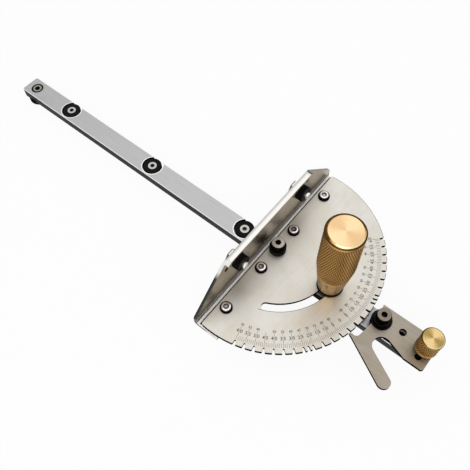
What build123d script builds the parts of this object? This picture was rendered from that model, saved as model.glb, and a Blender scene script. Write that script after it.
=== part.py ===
from build123d import *
import math
import os

# Miter gauge for a saw table, in millimetres. The origin is on the pivot axis of the head, level with
# the top face of the bar. +Y runs along the bar to its front end, +X across it and +Z up.

os.makedirs("parts", exist_ok=True)

# Bar that slides in the table slot
bar_width = 19.05
bar_height = 9.525
bar_past_thumb_stud = 5.9
bar_edge_chamfer = 0.5
bar_corner_radius = 2.0

# Expansion discs, set in pockets that break the right side of the bar
disc_diameter = 17.0
disc_thickness = 6.0
disc_offset = 1.5
disc_pocket_margin = 1.1
first_disc_y = 36.1
disc_pitch = 108.6
disc_count = 3
bar_past_last_disc = 60.5
disc_screw_diameter = 5.0
disc_screw_head = 8.8
disc_screw_socket = 3.0
disc_seat_margin = 0.3

# Washer under the front end, which runs in the undercut of the slot
slot_washer_diameter = 22.0
slot_washer_thickness = 2.4
slot_washer_from_end = 11.8
slot_screw_diameter = 6.0
slot_screw_head = 12.0
slot_screw_socket = 4.0

# Sheet parts of the head, and the pointer's offset from the bar
plate_radius = 89.5
plate_thickness = 3.0
plate_front = 7.0
plate_corner_radius = 2.5
bracket_sheet = 2.5
leg_above_bar = 1.5
leg_rear = -10.0
web_front = 13.0
bracket_height = 51.0
bracket_past_plate = 1.0
bracket_corner_height = 12.0
bracket_corner_radius = 4.0
bracket_top_radius = 8.0
bend_radius = 1.0
lip_depth = 6.0
pointer_offset = 15.0

# Index notches, one every five degrees and one at each half octagon angle
notch_step = 5.0
notch_limit = 60.0
extra_notch = 22.5
notch_depth = 3.8
notch_floor = 1.2
notch_mouth = 2.4
notch_mouth_radius = 0.5

# Clamping slot of the plate
clamp_radius = 52.2
clamp_slot_width = 7.0
clamp_slot_half_angle = 63.5

# Button-head screws between plate and bracket
screw_count = 4
screw_diameter = 6.0
outer_screw_from_rim = 22.6
screw_head_diameter = 10.4
screw_head_height = 3.0
screw_flat_radius = 2.6
screw_shoulder_radius = 4.4
screw_shoulder_height = 1.9
screw_socket = 4.0
screw_socket_depth = 2.1

# Shared fits and edges
slide_gap = 0.1
turning_fit = 0.05
clearance_fit = 0.2
socket_depth = 3.0
stud_chamfer = 0.6

# Bushes and cap screws of the two pivots
bush_diameter = 10.0
bush_flange_diameter = 14.2
bush_flange_top = 12.5
pivot_screw_diameter = 6.0
cap_head_diameter = 11.0
cap_head_height = 6.0
cap_head_chamfer = 0.3
cap_socket = 4.0
glide_washer_diameter = 18.0

# Handle, its stud and washer
handle_top = 92.5
handle_top_radius = 14.8
handle_shoulder_radius = 15.2
handle_shoulder_height = 46.0
handle_base_radius = 10.2
handle_chamfer_width = 2.4
handle_chamfer_height = 1.6
handle_washer_diameter = 21.8
handle_washer_thickness = 1.5
handle_bore_depth = 40.0
stud_diameter = 6.0
clamp_spacer_diameter = 19.0

# Knobs on the face of the bracket, which hold a fence
fence_bolt_from_corner = 11.2
fence_bolt_below_top = 14.0
fence_bolt_diameter = 6.0
fence_head_flats = 10.0
fence_head_thickness = 4.0
fence_knob_diameter = 13.6
fence_knob_length = 6.4
fence_knob_chamfer = 0.5
fence_washer_diameter = 15.0
fence_washer_thickness = 0.8
fence_bolt_past_knob = 2.3
spare_hole_past_corner = 1.0
spare_hole_below_top = 13.0
spare_hole_diameter = 4.5

# Index lever, with its sizes along the bar measured back from its pivot
lever_pivot_from_rim = 10.5
lever_front_gap = 6.0
lever_right = 12.4
lever_left = -15.6
lever_past_thumb_stud = 7.3
lever_corner_cut = 1.4
lever_waist_back = 29.0
lever_gap_radius = 7.5
lever_gap_back = 11.5
finger_width = 10.5
finger_lean = 27.6
finger_end_back = 26.8
finger_end_x = -40.0
tooth_reach = 1.8
tooth_clearance = 0.12
tooth_root_radius = 3.0
tooth_root_from_rim = 4.0
rim_clearance = 0.5
engage_swing = 4.5
withdraw_swing = 11.0
lever_hole_x = 1.7
lever_hole_back = 18.0
lever_hole_diameter = 6.0
bar_hole_depth = 7.0
lever_washer_diameter = 16.6
lever_washer_thickness = 1.1
lever_spacer_diameter = 16.0

# Thumb knob that locks the lever
thumb_slot_radius = 37.5
thumb_stud_diameter = 5.0
thumb_slot_width = 5.6
slot_end_allowance = 1.0
thumb_knob_top = 31.8
thumb_knob_radius = 8.6
thumb_collar_radius = 6.9
thumb_collar_height = 3.0
thumb_chamfer = 1.0
thumb_bore_depth = 16.5
thumb_washer_diameter = 13.4
thumb_washer_thickness = 1.0
thumb_spacer_depth = 10.6
thumb_spacer_radius = 2.0

# Heights and places that follow from the sizes above
plate_bottom = leg_above_bar + bracket_sheet
plate_top = plate_bottom + plate_thickness
lever_pivot_distance = plate_radius + lever_pivot_from_rim
thumb_distance = lever_pivot_distance + thumb_slot_radius
bar_rear = -thumb_distance - bar_past_thumb_stud
above_plate = plate_top + slide_gap
pivot_to_front_end = first_disc_y + (disc_count - 1) * disc_pitch + bar_past_last_disc
slot_washer_y = pivot_to_front_end - slot_washer_from_end
disc_places = [(disc_offset, first_disc_y + index * disc_pitch) for index in range(disc_count)]
bracket_half_width = plate_radius + bracket_past_plate
crop = bracket_height - bracket_corner_height
web_top_corner_x = bracket_half_width - crop
fence_bolt_x = web_top_corner_x - fence_bolt_from_corner
spare_hole_x = web_top_corner_x + spare_hole_past_corner
fence_bolt_z = bracket_height - fence_bolt_below_top
spare_hole_z = bracket_height - spare_hole_below_top
first_screw_x = outer_screw_from_rim - plate_radius
screw_spacing = -2 * first_screw_x / (screw_count - 1)
screw_places = [(first_screw_x + index * screw_spacing, 0) for index in range(screw_count)]
spacer_height = plate_bottom - slide_gap
lever_pivot = (0, -lever_pivot_distance)
handle_place = (0, -clamp_radius)
thumb_place = (0, -thumb_distance)
lever_hole_place = (lever_hole_x, -lever_pivot_distance - lever_hole_back)
pointer_angle = 270 - pointer_offset


def finish(piece, name):
    piece.part.label = name
    export_step(piece.part, f"parts/{name}.step")


def ring(name, place, bottom, height, outer, inner):
    """Flat washer or spacer with its axis upright."""
    with BuildPart() as washer:
        with BuildSketch(Plane.XY.offset(bottom)):
            with Locations(place):
                Circle(outer / 2)
                Circle(inner / 2, mode=Mode.SUBTRACT)
        extrude(amount=height)
    finish(washer, name)


# Bar: cold-drawn flat with a pocket for each expansion disc, a countersunk front hole and the tapped
# holes of the studs and pivot screws. Tapped holes are bored at the size of their screw.
disc_pocket_depth = disc_thickness + slide_gap
bar_middle = (pivot_to_front_end + bar_rear) / 2
with BuildPart() as miter_bar:
    with BuildSketch(Plane.XY.offset(-bar_height)):
        with Locations((0, bar_middle)):
            RectangleRounded(bar_width, pivot_to_front_end - bar_rear, bar_corner_radius)
    extrude(amount=bar_height)
    long_edges = miter_bar.edges().filter_by(Axis.Y)
    chamfer(long_edges, bar_edge_chamfer)
    with BuildSketch(Plane.XY):
        with Locations(*disc_places):
            Circle(disc_diameter / 2 + disc_pocket_margin)
    extrude(amount=-disc_pocket_depth, mode=Mode.SUBTRACT)
    with Locations(*[(x, y, -disc_pocket_depth) for x, y in disc_places]):
        Hole(disc_screw_diameter / 2 + turning_fit)
    with Locations((0, slot_washer_y, 0)):
        CounterSinkHole(slot_screw_diameter / 2, slot_screw_head / 2, counter_sink_angle=90)
    with Locations((0, 0, 0), (*lever_pivot, 0)):
        Hole(pivot_screw_diameter / 2)
    with Locations((*handle_place, 0)):
        Hole(stud_diameter / 2)
    with Locations((*thumb_place, 0)):
        Hole(thumb_stud_diameter / 2)
    with Locations((*lever_hole_place, 0)):
        Hole(lever_hole_diameter / 2, depth=bar_hole_depth)
finish(miter_bar, "miter_bar")


# Expansion disc: turned nylon with a tapered seat for the head of its adjusting screw
def countersunk_profile(head_radius, shank_radius, top, bottom):
    """Half section of a flat head and shank; its cone falls as fast as it narrows."""
    cone_end = top - (head_radius - shank_radius)
    Polyline(
        (0, top),
        (head_radius, top),
        (shank_radius, cone_end),
        (shank_radius, bottom),
        (0, bottom),
        close=True,
    )


for number, place in enumerate(disc_places, start=1):
    axis_here = Axis((*place, 0), (0, 0, 1))
    upright = Plane((*place, 0), x_dir=(1, 0, 0), z_dir=(0, -1, 0))
    with BuildPart() as disc:
        with BuildSketch(Plane.XY.offset(-disc_thickness)):
            with Locations(place):
                Circle(disc_diameter / 2)
        extrude(amount=disc_thickness)
        chamfer(disc.edges().group_by(Axis.Z)[-1], bar_edge_chamfer)
        with BuildSketch(upright):
            with BuildLine():
                countersunk_profile(
                    disc_screw_head / 2 + disc_seat_margin,
                    disc_screw_diameter / 2 + slide_gap,
                    slide_gap,
                    -disc_thickness - slide_gap,
                )
            make_face()
        revolve(axis=axis_here, mode=Mode.SUBTRACT)
    finish(disc, f"expansion_disc_{number}")

    with BuildPart() as disc_screw:
        with BuildSketch(upright):
            with BuildLine():
                countersunk_profile(
                    disc_screw_head / 2,
                    disc_screw_diameter / 2,
                    -slide_gap,
                    -bar_height + bar_edge_chamfer,
                )
            make_face()
        revolve(axis=axis_here)
        with BuildSketch(Plane.XY.offset(-slide_gap)):
            with Locations(place):
                RegularPolygon(disc_screw_socket / 2, 6, major_radius=False)
        extrude(amount=-socket_depth, mode=Mode.SUBTRACT)
    finish(disc_screw, f"disc_screw_{number}")


# Washer of the slot undercut and the flat-head screw that holds it under the bar
ring(
    "slot_washer",
    (0, slot_washer_y),
    -bar_height - slot_washer_thickness,
    slot_washer_thickness,
    slot_washer_diameter,
    slot_screw_diameter,
)
with BuildPart() as slot_washer_screw:
    with BuildSketch(Plane((0, slot_washer_y, 0), x_dir=(1, 0, 0), z_dir=(0, -1, 0))):
        with BuildLine():
            countersunk_profile(
                slot_screw_head / 2,
                slot_screw_diameter / 2,
                0,
                -bar_height - slot_washer_thickness,
            )
        make_face()
    revolve(axis=Axis((0, slot_washer_y, 0), (0, 0, 1)))
    with BuildSketch(Plane.XY):
        with Locations((0, slot_washer_y)):
            RegularPolygon(slot_screw_socket / 2, 6, major_radius=False)
    extrude(amount=-socket_depth, mode=Mode.SUBTRACT)
finish(slot_washer_screw, "slot_washer_screw")


# Protractor plate: flat steel disc segment with a notched rim and an arc slot for the clamp stud
step_count = round(notch_limit / notch_step)
notch_labels = [index * notch_step for index in range(-step_count, step_count + 1)]
notch_labels += [-extra_notch, extra_notch]
notch_turns = [Location((0, 0, 0), (0, 0, pointer_angle - label)) for label in notch_labels]
notch_root_radius = plate_radius - notch_depth
notch_flare = (notch_mouth - notch_floor) / 2 / notch_depth
extra_spacing = plate_radius * math.radians(extra_notch % notch_step)
narrowest_land = extra_spacing - notch_mouth
mouth_fillet = min(notch_mouth_radius, narrowest_land / 2 - slide_gap)
clamp_slot_path = CenterArc(
    (0, 0), clamp_radius, 270 - clamp_slot_half_angle, 2 * clamp_slot_half_angle
)
with BuildPart() as protractor_plate:
    with BuildSketch(Plane.XY.offset(plate_bottom)) as plate_outline:
        Circle(plate_radius)
        with Locations((0, plate_front)):
            Rectangle(
                2 * plate_radius,
                plate_radius,
                align=(Align.CENTER, Align.MIN),
                mode=Mode.SUBTRACT,
            )
        fillet(plate_outline.vertices().group_by(Axis.Y)[-1], plate_corner_radius)
        with Locations(*notch_turns):
            Polygon(
                (notch_root_radius, -notch_floor / 2),
                (plate_radius + notch_depth, -notch_floor / 2 - 2 * notch_depth * notch_flare),
                (plate_radius + notch_depth, notch_floor / 2 + 2 * notch_depth * notch_flare),
                (notch_root_radius, notch_floor / 2),
                align=None,
                mode=Mode.SUBTRACT,
            )
        on_rim = (plate_radius - slide_gap, plate_radius + slide_gap)
        mouths = [
            corner
            for corner in plate_outline.vertices()
            if on_rim[0] < math.hypot(corner.X, corner.Y) < on_rim[1] and corner.Y < 0
        ]
        fillet(mouths, mouth_fillet)
        SlotArc(clamp_slot_path, clamp_slot_width, mode=Mode.SUBTRACT)
        Circle(bush_diameter / 2 + turning_fit, mode=Mode.SUBTRACT)
        with Locations(*screw_places):
            Circle(screw_diameter / 2 + clearance_fit, mode=Mode.SUBTRACT)
    extrude(amount=plate_thickness)
finish(protractor_plate, "protractor_plate")


# Fence bracket: one steel sheet folded twice, with a leg under the plate, an upright web with cropped
# corners and a narrow lip turned back along its top
leg_middle = leg_above_bar + bracket_sheet / 2
web_middle = web_front - bracket_sheet / 2
web_rear = web_front - bracket_sheet
with BuildPart() as fence_bracket:
    with BuildSketch(Plane.YZ):
        with BuildLine():
            FilletPolyline(
                (leg_rear, leg_middle),
                (web_middle, leg_middle),
                (web_middle, bracket_height - bracket_sheet / 2),
                (web_front - lip_depth, bracket_height - bracket_sheet / 2),
                radius=bend_radius + bracket_sheet / 2,
            )
        trace(line_width=bracket_sheet)
    extrude(amount=bracket_half_width, both=True)
    with BuildSketch(Plane.XZ) as front_view:
        Polygon(
            (-bracket_half_width, 0),
            (bracket_half_width, 0),
            (bracket_half_width, bracket_corner_height),
            (web_top_corner_x, bracket_height),
            (-web_top_corner_x, bracket_height),
            (-bracket_half_width, bracket_corner_height),
            align=None,
        )
        lower_corners = front_view.vertices().group_by(Axis.Y)[1]
        fillet(lower_corners, bracket_corner_radius)
        upper_corners = front_view.vertices().group_by(Axis.Y)[-1]
        fillet(upper_corners, bracket_top_radius)
    extrude(amount=2 * bracket_height, both=True, mode=Mode.INTERSECT)
    with BuildSketch(Plane.XY):
        Circle(bush_diameter / 2 + turning_fit)
        with Locations(*screw_places):
            Circle(screw_diameter / 2)
    extrude(amount=plate_top, mode=Mode.SUBTRACT)
    with BuildSketch(Plane.XZ.offset(-web_front)):
        with Locations((-fence_bolt_x, fence_bolt_z), (fence_bolt_x, fence_bolt_z)):
            Circle(fence_bolt_diameter / 2 + clearance_fit)
        with Locations((-spare_hole_x, spare_hole_z), (spare_hole_x, spare_hole_z)):
            Circle(spare_hole_diameter / 2)
    extrude(amount=bracket_sheet, mode=Mode.SUBTRACT)
finish(fence_bracket, "fence_bracket")


# Button-head screws, tapped into the leg of the bracket
for number, place in enumerate(screw_places, start=1):
    with BuildPart() as button_screw:
        with BuildSketch(Plane((*place, plate_top), x_dir=(1, 0, 0), z_dir=(0, -1, 0))):
            with BuildLine():
                Polyline(
                    (0, screw_head_height),
                    (screw_flat_radius, screw_head_height),
                    (screw_shoulder_radius, screw_shoulder_height),
                    (screw_head_diameter / 2, 0),
                    (screw_diameter / 2, 0),
                    (screw_diameter / 2, leg_above_bar + slide_gap - plate_top),
                    (0, leg_above_bar + slide_gap - plate_top),
                    close=True,
                )
            make_face()
        revolve(axis=Axis((*place, 0), (0, 0, 1)))
        with BuildSketch(Plane.XY.offset(plate_top + screw_head_height)):
            with Locations(place):
                RegularPolygon(screw_socket / 2, 6, major_radius=False)
        extrude(amount=-screw_socket_depth, mode=Mode.SUBTRACT)
    finish(button_screw, f"bracket_screw_{number}")


# Pivots: a flanged bush stands on the bar and is clamped by a socket cap screw, so that the sheet part
# turns freely on the bush
def flanged_bush(name, place, flange_bottom):
    with BuildPart() as bush:
        with BuildSketch(Plane.XY):
            with Locations(place):
                Circle(bush_diameter / 2)
        extrude(amount=bush_flange_top)
        with BuildSketch(Plane.XY.offset(flange_bottom)):
            with Locations(place):
                Circle(bush_flange_diameter / 2)
        extrude(amount=bush_flange_top - flange_bottom)
        with Locations((*place, 0)):
            Hole(pivot_screw_diameter / 2 + clearance_fit)
    finish(bush, name)


def cap_screw(name, place):
    with BuildPart() as screw:
        with BuildSketch(Plane.XY.offset(-bar_height + bar_edge_chamfer)):
            with Locations(place):
                Circle(pivot_screw_diameter / 2)
        extrude(amount=bush_flange_top + bar_height - bar_edge_chamfer)
        with BuildSketch(Plane.XY.offset(bush_flange_top)):
            with Locations(place):
                Circle(cap_head_diameter / 2)
        extrude(amount=cap_head_height)
        chamfer(screw.edges().group_by(Axis.Z)[-1], cap_head_chamfer)
        with BuildSketch(Plane.XY.offset(bush_flange_top + cap_head_height)):
            with Locations(place):
                RegularPolygon(cap_socket / 2, 6, major_radius=False)
        extrude(amount=-socket_depth, mode=Mode.SUBTRACT)
    finish(screw, name)


bush_bore = bush_diameter + 2 * turning_fit
ring("glide_washer", (0, 0), 0, leg_above_bar - slide_gap, glide_washer_diameter, bush_bore)
flanged_bush("pivot_bush", (0, 0), above_plate)
cap_screw("pivot_screw", (0, 0))
ring("lever_spacer", lever_pivot, 0, spacer_height, lever_spacer_diameter, bush_bore)
ring(
    "lever_washer",
    lever_pivot,
    above_plate,
    lever_washer_thickness,
    lever_washer_diameter,
    bush_bore,
)
flanged_bush("lever_bush", lever_pivot, above_plate + lever_washer_thickness)
cap_screw("lever_pivot_screw", lever_pivot)


# Clamp: a stud tapped into the bar passes the arc slot, and the turned handle on it presses a washer
# on the plate. The spacer carries the plate above the bar.
handle_base = above_plate + handle_washer_thickness + slide_gap
stud_top = handle_base + handle_bore_depth - clearance_fit
ring(
    "clamp_spacer",
    handle_place,
    0,
    spacer_height,
    clamp_spacer_diameter,
    stud_diameter + 2 * clearance_fit,
)
ring(
    "handle_washer",
    handle_place,
    above_plate,
    handle_washer_thickness,
    handle_washer_diameter,
    stud_diameter + 2 * clearance_fit,
)


def stud(name, place, diameter, top):
    with BuildPart() as rod:
        with BuildSketch(Plane.XY.offset(-bar_height + bar_edge_chamfer)):
            with Locations(place):
                Circle(diameter / 2)
        extrude(amount=top + bar_height - bar_edge_chamfer)
        chamfer(rod.edges().group_by(Axis.Z)[-1], stud_chamfer)
    finish(rod, name)


stud("handle_stud", handle_place, stud_diameter, stud_top)

with BuildPart() as handle_grip:
    with BuildSketch(Plane.XZ.offset(clamp_radius)):
        with BuildLine():
            Polyline(
                (0, handle_base),
                (handle_base_radius, handle_base),
                (handle_shoulder_radius, handle_shoulder_height),
                (handle_top_radius, handle_top - handle_chamfer_height),
                (handle_top_radius - handle_chamfer_width, handle_top),
                (0, handle_top),
                close=True,
            )
        make_face()
    revolve(axis=Axis((*handle_place, 0), (0, 0, 1)))
    with BuildSketch(Plane.XY.offset(handle_base)):
        with Locations(handle_place):
            Circle(stud_diameter / 2 + turning_fit)
    extrude(amount=handle_bore_depth, mode=Mode.SUBTRACT)
finish(handle_grip, "handle_grip")


# Fence bolts: hex heads in front of the web, washers and knurled nuts behind it
for side, x in (("left", -fence_bolt_x), ("right", fence_bolt_x)):
    knob_front = web_rear - fence_washer_thickness - slide_gap
    knob_rear = knob_front - fence_knob_length
    bolt_end = knob_rear - fence_bolt_past_knob
    place = (x, fence_bolt_z)
    with BuildPart() as fence_bolt:
        with BuildSketch(Plane.XZ.offset(-web_front - fence_head_thickness)):
            with Locations(place):
                RegularPolygon(fence_head_flats / 2, 6, major_radius=False)
        extrude(amount=fence_head_thickness)
        with BuildSketch(Plane.XZ.offset(-web_front)):
            with Locations(place):
                Circle(fence_bolt_diameter / 2)
        extrude(amount=web_front - bolt_end)
        chamfer(fence_bolt.edges().group_by(Axis.Y)[0], stud_chamfer)
    finish(fence_bolt, f"fence_bolt_{side}")

    with BuildPart() as fence_washer:
        with BuildSketch(Plane.XZ.offset(-web_rear)):
            with Locations(place):
                Circle(fence_washer_diameter / 2)
                Circle(fence_bolt_diameter / 2 + clearance_fit, mode=Mode.SUBTRACT)
        extrude(amount=fence_washer_thickness)
    finish(fence_washer, f"fence_washer_{side}")

    with BuildPart() as fence_knob:
        with BuildSketch(Plane.XZ.offset(-knob_front)):
            with Locations(place):
                Circle(fence_knob_diameter / 2)
        extrude(amount=fence_knob_length)
        chamfer(fence_knob.edges().group_by(Axis.Y)[0], fence_knob_chamfer)
        with BuildSketch(Plane.XZ.offset(-knob_front)):
            with Locations(place):
                Circle(fence_bolt_diameter / 2 + turning_fit)
        extrude(amount=fence_knob_length, mode=Mode.SUBTRACT)
    finish(fence_knob, f"fence_knob_{side}")


# Index lever: laser-cut sheet level with the plate, drawn just clear of the rim. Swung in by a few degrees,
# its tooth fills the notch at the pointer. A finger reaches out on the left, and an arc slot passes the
# stud of the thumb knob. The outer flank of the tooth is an arc about the lever's pivot, so that it
# clears the mouth of the notch as it swings.
def polar(radius, angle):
    return Vector(radius * math.cos(math.radians(angle)), radius * math.sin(math.radians(angle)))


def tangent_point(centre, radius, point):
    """Where the line from a point touches a circle, on the right as seen from the point."""
    away = Vector(point) - centre
    turn = math.degrees(math.acos(radius / away.length))
    heading = math.degrees(math.atan2(away.Y, away.X))
    return centre + polar(radius, heading + turn)


inward = polar(1, 90 - finger_lean)
sideways = polar(1, -finger_lean)
lever_front_radius = plate_radius + lever_front_gap
lever_rear = -thumb_distance - lever_past_thumb_stud
lever_waist_y = -lever_pivot_distance - lever_waist_back
lever_gap_y = -lever_pivot_distance - lever_gap_back
finger_end = Vector(finger_end_x, -lever_pivot_distance - finger_end_back)
gap_offset = finger_width / 2 + lever_gap_radius
gap_along = (lever_gap_y - (finger_end + sideways * gap_offset).Y) / inward.Y
gap_centre = finger_end + sideways * gap_offset + inward * gap_along
waist = (lever_left, lever_waist_y)
gap_right = tangent_point(gap_centre, lever_gap_radius, waist)
gap_left = gap_centre - sideways * lever_gap_radius
gap_top = gap_centre + Vector(0, lever_gap_radius)

tooth_tip_radius = plate_radius - tooth_reach
tooth_out = polar(1, pointer_angle)
tooth_across = polar(1, pointer_angle - 90)


def swung_out(point):
    """Where a point of the engaged lever lies once the tooth is clear of the rim."""
    return Vector(lever_pivot) + (point - Vector(lever_pivot)).rotate(Axis.Z, engage_swing)


def tooth_point(radius, side):
    """Point on a flank of the tooth, which is parallel to the flank of its notch when engaged."""
    half = notch_floor / 2 + (radius - notch_root_radius) * notch_flare - tooth_clearance
    return swung_out(tooth_out * radius + tooth_across * (half * side))


tooth_base = tooth_point(plate_radius + rim_clearance, 1)
tooth_root = tooth_point(plate_radius + tooth_root_from_rim, -1)
notch_corner = tooth_out * plate_radius + tooth_across * (notch_mouth / 2)
relief_radius = (notch_corner - Vector(lever_pivot)).length - tooth_clearance
with BuildSketch() as tooth_relief:
    with Locations(swung_out(Vector(0, 0))):
        Circle(plate_radius)
    with Locations(lever_pivot):
        Circle(relief_radius, mode=Mode.SUBTRACT)
front_right = Vector(lever_right, -math.sqrt(lever_front_radius**2 - lever_right**2))
thumb_slot_path = CenterArc(
    lever_pivot,
    thumb_slot_radius,
    270 - withdraw_swing - slot_end_allowance,
    withdraw_swing + engage_swing + 2 * slot_end_allowance,
)
with BuildPart() as index_lever:
    with BuildSketch(Plane.XY.offset(plate_bottom)) as lever_outline:
        with BuildLine():
            Polyline(
                front_right,
                (lever_right, lever_rear),
                (lever_left + lever_corner_cut, lever_rear),
                (lever_left, lever_rear + lever_corner_cut),
                waist,
                gap_right,
            )
            ThreePointArc(gap_right, gap_top, gap_left)
            Line(gap_left, finger_end + sideways * (finger_width / 2))
            ThreePointArc(
                finger_end + sideways * (finger_width / 2),
                finger_end - inward * (finger_width / 2),
                finger_end - sideways * (finger_width / 2),
            )
            Polyline(
                finger_end - sideways * (finger_width / 2),
                tooth_base,
                tooth_point(tooth_tip_radius, 1),
                tooth_point(tooth_tip_radius, -1),
                tooth_root,
            )
            RadiusArc(tooth_root, front_right, -lever_front_radius)
        make_face()
        root_corner = lever_outline.vertices().sort_by_distance(tooth_root)[0]
        fillet(root_corner, tooth_root_radius)
        add(tooth_relief.sketch, mode=Mode.SUBTRACT)
        SlotArc(thumb_slot_path, thumb_slot_width, mode=Mode.SUBTRACT)
        with Locations(lever_pivot):
            Circle(bush_diameter / 2 + turning_fit, mode=Mode.SUBTRACT)
        with Locations(lever_hole_place):
            Circle(lever_hole_diameter / 2, mode=Mode.SUBTRACT)
    extrude(amount=plate_thickness)
finish(index_lever, "index_lever")


# Lock of the lever: nylon spacer, stud, washer and a turned thumb knob
thumb_base = above_plate + thumb_washer_thickness + slide_gap
with BuildPart() as thumb_spacer:
    with BuildSketch(Plane.XY):
        with Locations(thumb_place):
            RectangleRounded(bar_width, thumb_spacer_depth, thumb_spacer_radius)
            Circle(thumb_stud_diameter / 2 + clearance_fit, mode=Mode.SUBTRACT)
    extrude(amount=spacer_height)
finish(thumb_spacer, "thumb_spacer")

ring(
    "thumb_washer",
    thumb_place,
    above_plate,
    thumb_washer_thickness,
    thumb_washer_diameter,
    thumb_stud_diameter + 2 * clearance_fit,
)
stud("thumb_stud", thumb_place, thumb_stud_diameter, thumb_base + thumb_bore_depth - clearance_fit)

with BuildPart() as thumb_knob:
    with BuildSketch(Plane.XZ.offset(thumb_distance)):
        with BuildLine():
            Polyline(
                (0, thumb_base),
                (thumb_collar_radius, thumb_base),
                (thumb_collar_radius, thumb_base + thumb_collar_height),
                (thumb_collar_radius + thumb_chamfer, thumb_base + thumb_collar_height + thumb_chamfer),
                (thumb_knob_radius, thumb_knob_top - thumb_chamfer),
                (thumb_knob_radius - thumb_chamfer, thumb_knob_top),
                (0, thumb_knob_top),
                close=True,
            )
        make_face()
    revolve(axis=Axis((*thumb_place, 0), (0, 0, 1)))
    with BuildSketch(Plane.XY.offset(thumb_base)):
        with Locations(thumb_place):
            Circle(thumb_stud_diameter / 2 + turning_fit)
    extrude(amount=thumb_bore_depth, mode=Mode.SUBTRACT)
finish(thumb_knob, "thumb_knob")
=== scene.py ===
import bpy
import math
from mathutils import Euler, Matrix, Vector


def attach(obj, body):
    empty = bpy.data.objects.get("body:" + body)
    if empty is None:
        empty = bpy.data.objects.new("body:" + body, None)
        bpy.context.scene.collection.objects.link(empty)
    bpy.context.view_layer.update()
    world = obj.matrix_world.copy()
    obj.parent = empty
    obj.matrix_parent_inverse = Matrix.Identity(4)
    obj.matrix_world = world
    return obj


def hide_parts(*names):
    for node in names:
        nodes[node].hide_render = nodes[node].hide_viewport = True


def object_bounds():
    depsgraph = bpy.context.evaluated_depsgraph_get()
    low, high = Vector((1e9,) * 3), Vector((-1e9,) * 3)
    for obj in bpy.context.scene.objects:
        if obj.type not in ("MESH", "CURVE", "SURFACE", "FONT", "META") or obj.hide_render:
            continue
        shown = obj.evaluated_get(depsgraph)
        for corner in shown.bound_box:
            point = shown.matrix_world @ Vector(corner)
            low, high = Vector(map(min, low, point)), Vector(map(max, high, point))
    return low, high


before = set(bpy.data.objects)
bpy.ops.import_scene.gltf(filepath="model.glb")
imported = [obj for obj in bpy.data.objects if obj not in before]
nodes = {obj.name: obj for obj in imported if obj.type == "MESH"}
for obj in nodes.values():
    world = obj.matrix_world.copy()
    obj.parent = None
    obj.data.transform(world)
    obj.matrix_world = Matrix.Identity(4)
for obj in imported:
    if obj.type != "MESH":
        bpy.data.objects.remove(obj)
cad_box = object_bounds()


# Miter bar. The real piece is a flat bar of drawn aluminium, 19 mm wide and 457 mm long, that slides
# in the table slot. Its top and bottom are ground; its sides are painted darker as shade, and its broken
# edges bright as highlights.

def colour(hex_code):
    """Turns an sRGB hex colour into the linear colour that a socket takes."""
    values = [int(hex_code[i:i + 2], 16) / 255 for i in (1, 3, 5)]
    linear = [v / 12.92 if v <= 0.04045 else ((v + 0.055) / 1.055) ** 2.4 for v in values]
    return (*linear, 1.0)


def add(tree, kind, inputs=None, out=0, stops=(), **settings):
    """Adds a node with its settings and links, and gives back one of its outputs.

    An input takes a value, a hex colour or another node's output. Stops are those of a colour ramp:
    its first, its last, and then any between them.
    """
    made = tree.nodes.new(kind)
    for name, value in settings.items():
        setattr(made, name, value)
    for name, value in (inputs or {}).items():
        if isinstance(value, bpy.types.NodeSocket):
            tree.links.new(value, made.inputs[name])
        elif isinstance(value, str) and value.startswith("#"):
            made.inputs[name].default_value = colour(value)
        else:
            made.inputs[name].default_value = value
    for index, (position, hex_code) in enumerate(stops):
        elements = made.color_ramp.elements
        stop = elements[index] if index < 2 else elements.new(position)
        stop.position, stop.color = position, colour(hex_code)
    return made.outputs[out] if len(made.outputs) else made


def start_finish(name):
    """Starts a material and gives it back with its empty node tree."""
    material = bpy.data.materials.new(name)
    material.use_nodes = True
    material.node_tree.nodes.clear()
    return material, material.node_tree


def grain(tree, width, length, along, detail=2.0):
    """A pattern of streaks of the given width and length in metres, lying along one axis."""
    scale = [1 / width, 1 / width, 1 / width]
    scale["XYZ".index(along)] = 1 / length
    spread = add(tree, "ShaderNodeMapping",
                 {"Vector": add(tree, "ShaderNodeTexCoord", out="Object"), "Scale": scale})
    return add(tree, "ShaderNodeTexNoise",
               {"Vector": spread, "Scale": 1.0, "Detail": detail, "Roughness": 0.6})


def varied(tree, width, length, along, tones, gloss):
    """A pattern of streaks or patches, with the tones and the roughness that it gives a surface."""
    pattern = grain(tree, width, length, along)
    shade = add(tree, "ShaderNodeValToRGB", {0: pattern}, stops=[(0.3, tones[0]), (0.7, tones[1])])
    roughness = add(tree, "ShaderNodeMapRange", {"Value": pattern, "To Min": gloss[0], "To Max": gloss[1]})
    return pattern, shade, roughness


def place_along(tree, axis):
    """Place in metres along one axis of the piece."""
    return add(tree, "ShaderNodeSeparateXYZ", {0: add(tree, "ShaderNodeTexCoord", out="Object")}, axis)


def facing(tree, axis):
    """How squarely a face looks along one axis of the piece, from 0 to 1 either way."""
    part = add(tree, "ShaderNodeSeparateXYZ", {0: add(tree, "ShaderNodeTexCoord", out="Normal")}, axis)
    return add(tree, "ShaderNodeMath", {0: part}, operation="ABSOLUTE")


def from_axis(tree, centre):
    """Distance in metres from an upright line through a point."""
    place = add(tree, "ShaderNodeTexCoord", out="Object")
    moved = add(tree, "ShaderNodeVectorMath", {0: place, 1: centre}, operation="SUBTRACT")
    flat = add(tree, "ShaderNodeVectorMath", {0: moved, 1: (1.0, 1.0, 0.0)}, operation="MULTIPLY")
    return add(tree, "ShaderNodeVectorMath", {0: flat}, "Value", operation="LENGTH")


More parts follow.
